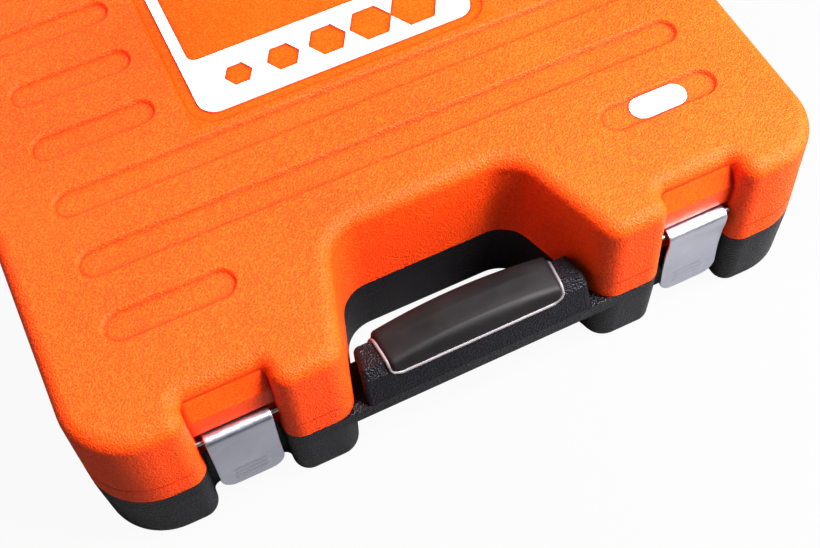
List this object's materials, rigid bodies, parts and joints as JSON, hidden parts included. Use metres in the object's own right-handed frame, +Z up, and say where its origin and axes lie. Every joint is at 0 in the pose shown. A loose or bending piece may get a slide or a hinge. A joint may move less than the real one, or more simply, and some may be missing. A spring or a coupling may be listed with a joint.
{
  "type": "socket wrench set in case",
  "caption": "Hinged moulded carry case with two latches and a front handle, holding sockets, ratchets and bars for two drive sizes.",
  "frame": {"origin": "centre of the bounding box's footprint, on the case's underside", "axes": "+X right along the case's front edge, +Y back towards the hinge, +Z up, case lying flat and closed"},
  "size_m": [0.4, 0.33, 0.105],
  "materials": {
    "black_shell": "fine moulded grain",
    "orange_shell": "fine moulded grain",
    "tray_plastic": "satin moulded",
    "lid_foam": "soft foam",
    "latch_steel": "satin plated",
    "pin_steel": "drawn wire",
    "soft_grip": "smooth soft touch",
    "grip_trim": "smooth",
    "label_white": "printed film",
    "tool_grip": "soft touch",
    "plug_rubber": "matte",
    "rail_plastic": "smooth",
    "bit_steel": "phosphated",
    "socket_chrome": "polished ends, satin body",
    "tool_chrome": "satin chrome"
  },
  "bodies": {
    "case_base": {"base_shell": "black_shell", "bit_adapter": "bit_steel", "bit_rail": "rail_plastic", "extension_half_long": "tool_chrome", "extension_half_short": "tool_chrome", "extension_quarter_long": "tool_chrome", "extension_quarter_short": "tool_chrome", "grip_trim": "grip_trim", "handle_grip": "soft_grip", "hinge_pins": "pin_steel", "ratchet_cover_screws": "tool_chrome", "ratchet_half_body": "tool_chrome", "ratchet_half_cover": "tool_chrome", "ratchet_half_grip": "tool_grip", "ratchet_quarter_body": "tool_chrome", "ratchet_quarter_cover": "tool_chrome", "ratchet_quarter_grip": "tool_grip", "screw_bits": "bit_steel", "socket_half_14": "socket_chrome", "socket_half_15": "socket_chrome", "socket_half_16": "socket_chrome", "socket_half_17": "socket_chrome", "socket_half_18": "socket_chrome", "socket_half_19": "socket_chrome", "socket_half_22": "socket_chrome", "socket_half_24": "socket_chrome", "socket_half_27": "socket_chrome", "socket_half_32": "socket_chrome", "socket_quarter_10": "socket_chrome", "socket_quarter_11": "socket_chrome", "socket_quarter_12": "socket_chrome", "socket_quarter_13": "socket_chrome", "socket_quarter_6": "socket_chrome", "socket_quarter_7": "socket_chrome", "socket_quarter_8": "socket_chrome", "socket_quarter_9": "socket_chrome", "spark_plug_ring": "plug_rubber", "spark_plug_socket": "tool_chrome", "spinner_grip": "tool_grip", "spinner_shaft": "tool_chrome", "tee_bar": "tool_chrome", "tray_centre": "tray_plastic", "tray_front": "tray_plastic", "tray_middle": "tray_plastic", "tray_rear": "tray_plastic"},
    "lid": {"lid_shell": "orange_shell", "lid_liner": "tray_plastic", "lid_foam": "lid_foam", "latch_pins": "pin_steel", "label_plate": "label_white", "size_sticker": "label_white"},
    "latch_left": {"latch_left": "latch_steel"},
    "latch_right": {"latch_right": "latch_steel"},
    "ratchet_half_drive": {"ratchet_half_drive": "tool_chrome"},
    "ratchet_half_button": {"ratchet_half_button": "tool_chrome"},
    "ratchet_half_lever": {"ratchet_half_lever": "tool_chrome"},
    "ratchet_quarter_drive": {"ratchet_quarter_drive": "tool_chrome"},
    "ratchet_quarter_button": {"ratchet_quarter_button": "tool_chrome"},
    "ratchet_quarter_lever": {"ratchet_quarter_lever": "tool_chrome"},
    "tee_slider": {"tee_slider": "tool_chrome"}
  },
  "joints": [
    {"name": "lid_hinge", "type": "hinge", "parent": "case_base", "child": "lid", "pos_m": [0, 0.1605, 0.045], "axis": [-1, 0, 0], "range_deg": [0, 105]},
    {"name": "latch_left_hinge", "type": "hinge", "parent": "lid", "child": "latch_left", "pos_m": [-0.1262, -0.1558, 0.0669], "axis": [-1, 0, 0], "range_deg": [0, 95]},
    {"name": "latch_right_hinge", "type": "hinge", "parent": "lid", "child": "latch_right", "pos_m": [0.1262, -0.1558, 0.0669], "axis": [-1, 0, 0], "range_deg": [0, 95]},
    {"name": "ratchet_half_drive_spin", "type": "hinge", "parent": "case_base", "child": "ratchet_half_drive", "pos_m": [-0.164, 0.044, 0.025], "axis": [0, 0, 1], "continuous": true},
    {"name": "ratchet_half_lever_swing", "type": "hinge", "parent": "case_base", "child": "ratchet_half_lever", "pos_m": [-0.153, 0.044, 0.045], "axis": [0, 0, 1], "range_deg": [0, 44]},
    {"name": "ratchet_half_button_press", "type": "slide", "parent": "ratchet_half_drive", "child": "ratchet_half_button", "axis": [0, 0, -1], "range_m": [0, 0.0015], "stiffness_N_per_m": 500, "springref_m": -0.001},
    {"name": "ratchet_quarter_drive_spin", "type": "hinge", "parent": "case_base", "child": "ratchet_quarter_drive", "pos_m": [-0.176, -0.038, 0.029], "axis": [0, 0, 1], "continuous": true},
    {"name": "ratchet_quarter_lever_swing", "type": "hinge", "parent": "case_base", "child": "ratchet_quarter_lever", "pos_m": [-0.1694, -0.038, 0.042], "axis": [0, 0, 1], "range_deg": [0, 44]},
    {"name": "ratchet_quarter_button_press", "type": "slide", "parent": "ratchet_quarter_drive", "child": "ratchet_quarter_button", "axis": [0, 0, -1], "range_m": [0, 0.0015], "stiffness_N_per_m": 300, "springref_m": -0.001},
    {"name": "tee_slider_slide", "type": "slide", "parent": "case_base", "child": "tee_slider", "axis": [1, 0, 0], "range_m": [-0.085, 0.085]}
  ]
}
